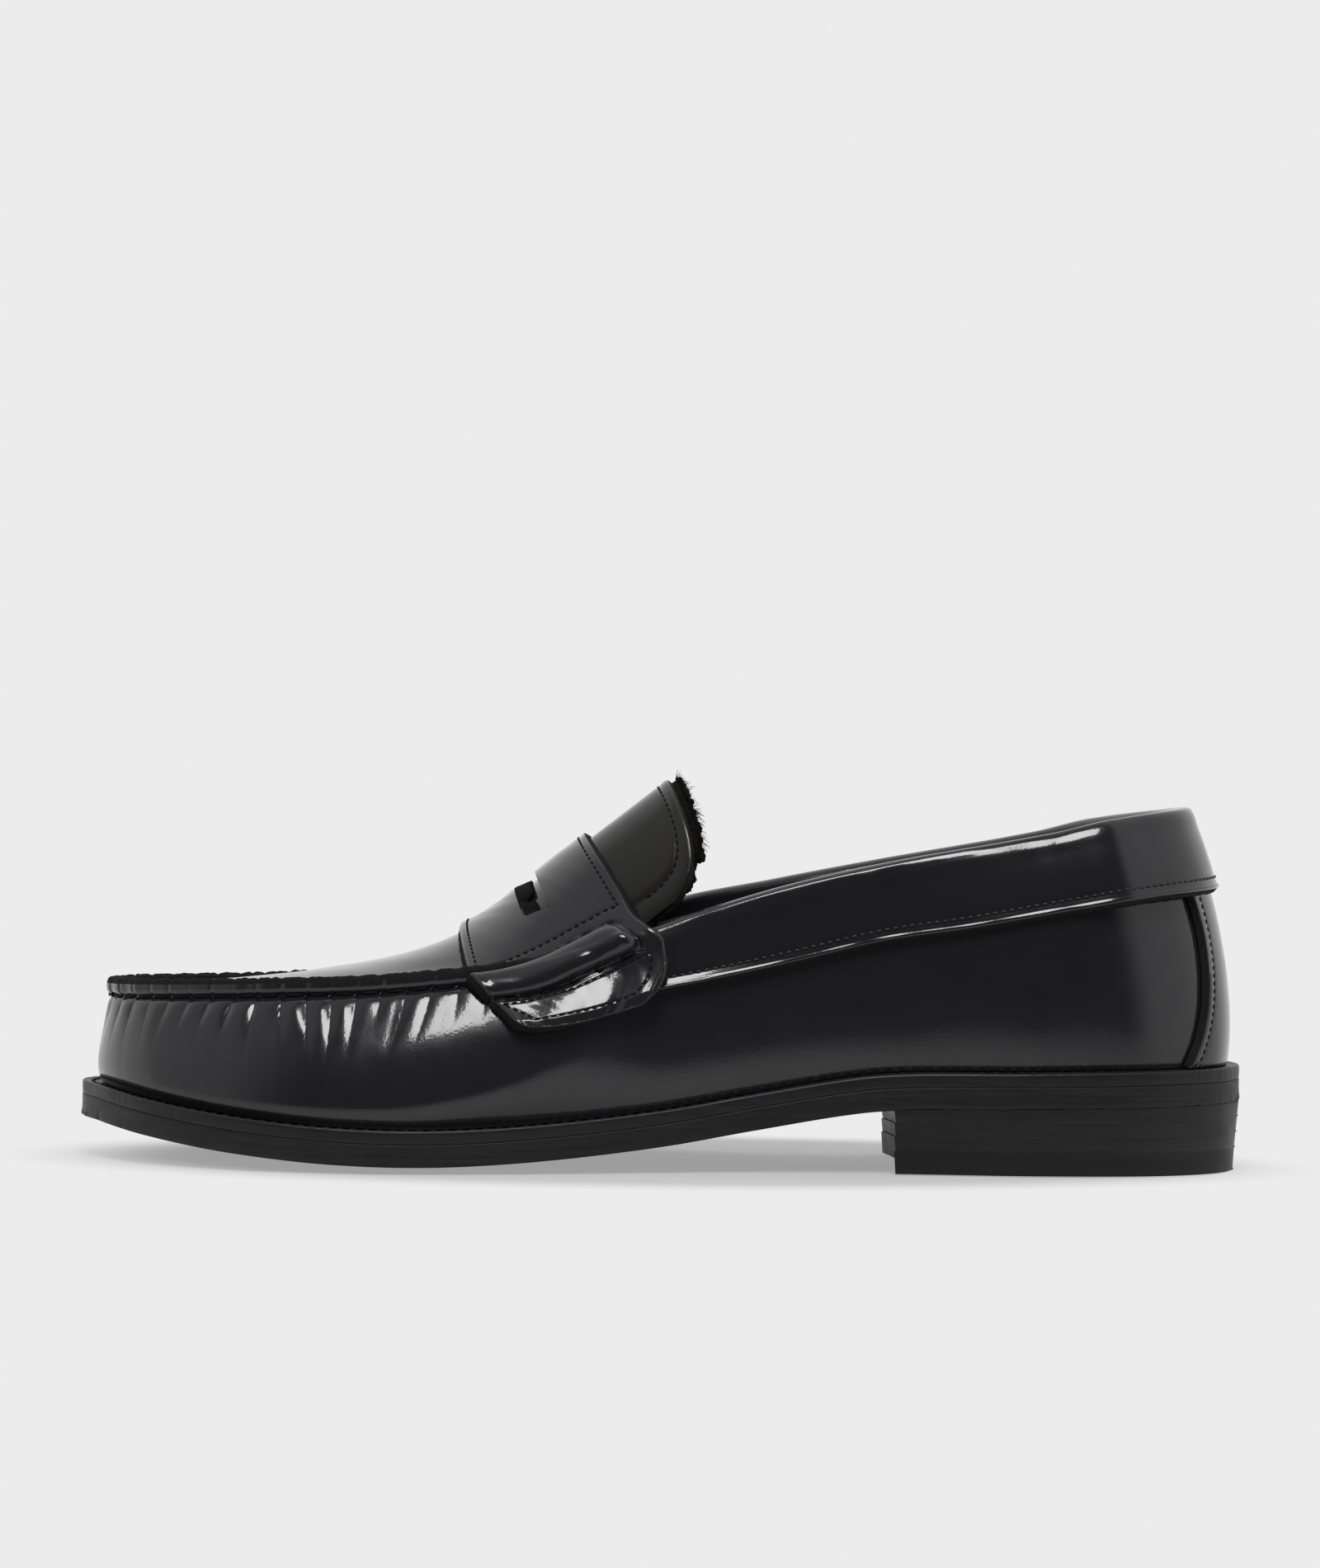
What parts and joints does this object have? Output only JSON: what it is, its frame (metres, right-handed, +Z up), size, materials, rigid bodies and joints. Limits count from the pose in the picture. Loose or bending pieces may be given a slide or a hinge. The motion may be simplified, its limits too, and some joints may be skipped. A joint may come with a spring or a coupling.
{
  "type": "penny loafer shoe",
  "caption": "Slip-on leather shoe with a hand-sewn moccasin toe, a slotted saddle strap across the instep, a free tongue and a low stacked heel.",
  "frame": {"origin": "on the ground plane, at the middle of the bottom of the bounding box", "axes": "+Z up, +X from toe to heel, +Y towards the inner side of the foot (the arch side)"},
  "size_m": [0.298, 0.104, 0.0976],
  "materials": {
    "upper_leather": "high-shine polished box leather, black",
    "lining_leather": "smooth dark brown lining leather",
    "suede": "black suede with a frayed edge",
    "thread": "waxed black thread",
    "edge_leather": "black-dyed, burnished leather edge",
    "rubber": "matt black rubber",
    "board": "tan leatherboard",
    "cork": "cork paste",
    "foam": "dark felted foam",
    "textile": "dark woven lining cloth",
    "steel": "bare steel"
  },
  "bodies": {
    "shoe": {"outsole": "edge_leather", "welt": "edge_leather", "heel_lift_1": "edge_leather", "heel_lift_2": "edge_leather", "heel_lift_3": "edge_leather", "top_piece": "rubber", "heel_nail_1": "steel", "heel_nail_2": "steel", "heel_nail_3": "steel", "heel_nail_4": "steel", "heel_nail_5": "steel", "cork_filler": "cork", "shank": "steel", "insole": "board", "heel_pad": "foam", "sock_lining": "lining_leather", "vamp": "upper_leather", "back_strip": "upper_leather", "collar": "upper_leather", "topline_tape": "textile", "heel_counter": "board", "quarter_lining": "lining_leather", "toe_puff": "board", "vamp_lining": "textile", "apron": "upper_leather", "apron_lining": "textile", "saddle_strap": "upper_leather", "seam_thread": "thread", "collar_thread": "thread", "strap_front_thread": "thread", "strap_back_thread": "thread", "wing_thread_outer": "thread", "wing_thread_inner": "thread", "back_thread_outer": "thread", "back_thread_inner": "thread", "welt_thread": "thread"},
    "tongue": {"tongue": "upper_leather", "tongue_lining": "suede", "tongue_thread": "thread"}
  },
  "joints": [
    {"name": "tongue_flex", "type": "hinge", "parent": "shoe", "child": "tongue", "pos_m": [-0.0138, 0, 0.0815], "axis": [0, -1, 0], "range_deg": [0, 30], "stiffness_Nm_per_rad": 0.05}
  ]
}
